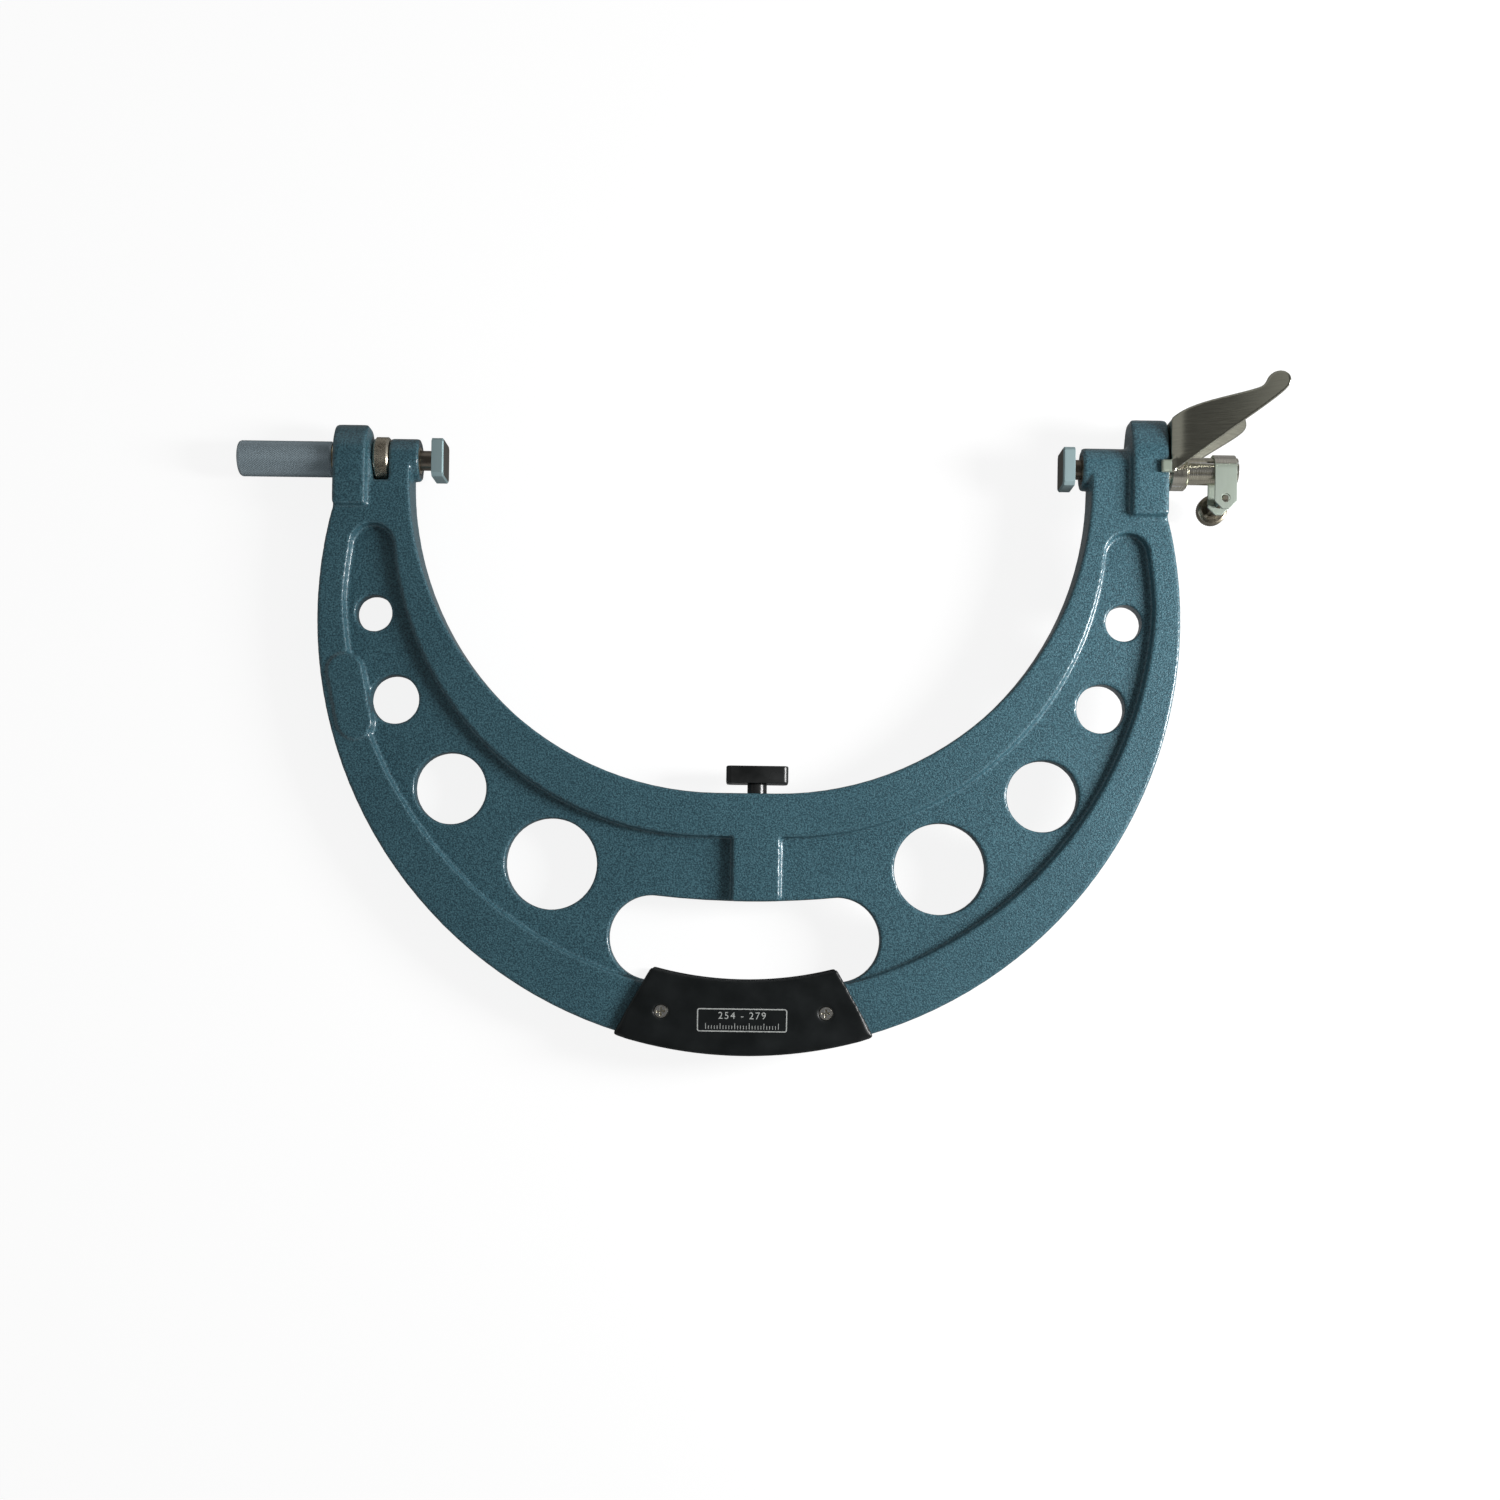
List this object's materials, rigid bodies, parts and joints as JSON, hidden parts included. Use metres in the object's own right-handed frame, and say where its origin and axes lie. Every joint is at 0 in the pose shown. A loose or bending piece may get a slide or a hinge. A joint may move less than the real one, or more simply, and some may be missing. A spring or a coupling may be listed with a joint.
{
  "type": "snap gauge",
  "caption": "Deep C-shaped indicating snap gauge with an adjustable anvil, a lever-drawn sprung anvil, an indicator clamp, a back stop and an insulated grip.",
  "frame": {"origin": "on the measuring line between the anvils, in the middle of the frame's width and thickness", "axes": "+X along the measuring line to the retractable anvil, +Y from the grip to the anvils, +Z out of the front"},
  "size_m": [0.4648, 0.3027, 0.0776],
  "materials": {
    "frame_paint": "hammered blue-green paint on a casting",
    "satin_steel": "satin ground steel",
    "hard_face": "lapped hard metal",
    "nickel": "polished nickel plate",
    "bronze_nickel": "brownish nickel plate, knurled",
    "brass": "turned",
    "black_finish": "semi-gloss black",
    "grip_plastic": "satin black",
    "spring_steel": "drawn wire"
  },
  "bodies": {
    "gauge_frame": {"frame": "frame_paint", "grip_front": "grip_plastic", "grip_rear": "grip_plastic", "grip_front_screws": "nickel", "grip_rear_screws": "nickel", "lock_collet": "brass", "adjustable_guide_bush": "brass", "spindle_key_screw": "black_finish", "retractable_guide_bush": "brass", "return_spring": "spring_steel", "stem_tube": "nickel", "clamp_strap": "nickel", "lever_pivot_pins": "satin_steel", "stop_lock_screw": "black_finish"},
    "adjustable_anvil_assembly": {"adjustable_spindle": "satin_steel", "adjustable_anvil": "satin_steel", "adjustable_anvil_face": "hard_face"},
    "nut": {"adjusting_nut": "bronze_nickel"},
    "sleeve": {"lock_sleeve": "satin_steel"},
    "retractable_anvil_assembly": {"retractable_spindle": "satin_steel", "retractable_anvil": "satin_steel", "retractable_anvil_face": "hard_face", "lifting_ring": "nickel", "ring_pin": "satin_steel"},
    "lever": {"lifting_lever": "nickel"},
    "back_stop": {"stop_pad": "black_finish", "stop_rod": "black_finish"},
    "clamp": {"clamp_screw": "bronze_nickel"}
  },
  "joints": [
    {"name": "nut_turn", "type": "hinge", "parent": "gauge_frame", "child": "nut", "pos_m": [-0.1662, 0, 0], "axis": [1, 0, 0], "range_deg": [-8520, 560]},
    {"name": "anvil_adjust", "type": "slide", "parent": "gauge_frame", "child": "adjustable_anvil_assembly", "axis": [1, 0, 0], "range_m": [-0.0015, 0.0236]},
    {"name": "sleeve_turn", "type": "hinge", "parent": "gauge_frame", "child": "sleeve", "pos_m": [-0.21, 0, 0], "axis": [1, 0, 0], "range_deg": [0, 120]},
    {"name": "lever_press", "type": "hinge", "parent": "gauge_frame", "child": "lever", "pos_m": [0.1848, -0.0012, 0], "axis": [0, 0, -1], "range_deg": [0, 12.2]},
    {"name": "anvil_retract", "type": "slide", "parent": "gauge_frame", "child": "retractable_anvil_assembly", "axis": [1, 0, 0], "range_m": [0, 0.002], "stiffness_N_per_m": 1200, "springref_m": -0.0125, "deforming": ["return_spring"]},
    {"name": "stop_slide", "type": "slide", "parent": "gauge_frame", "child": "back_stop", "axis": [0, 1, 0], "range_m": [-0.0035, 0.013]},
    {"name": "clamp_turn", "type": "hinge", "parent": "gauge_frame", "child": "clamp", "pos_m": [0.21345, -0.0132, -0.02], "axis": [0, 0, 1], "range_deg": [0, 180]}
  ],
  "couplings": [
    {"joint": "nut_turn", "follows": "anvil_adjust", "rad_per_m": -6283.2},
    {"joint": "lever_press", "follows": "anvil_retract", "rad_per_m": 104.77}
  ]
}
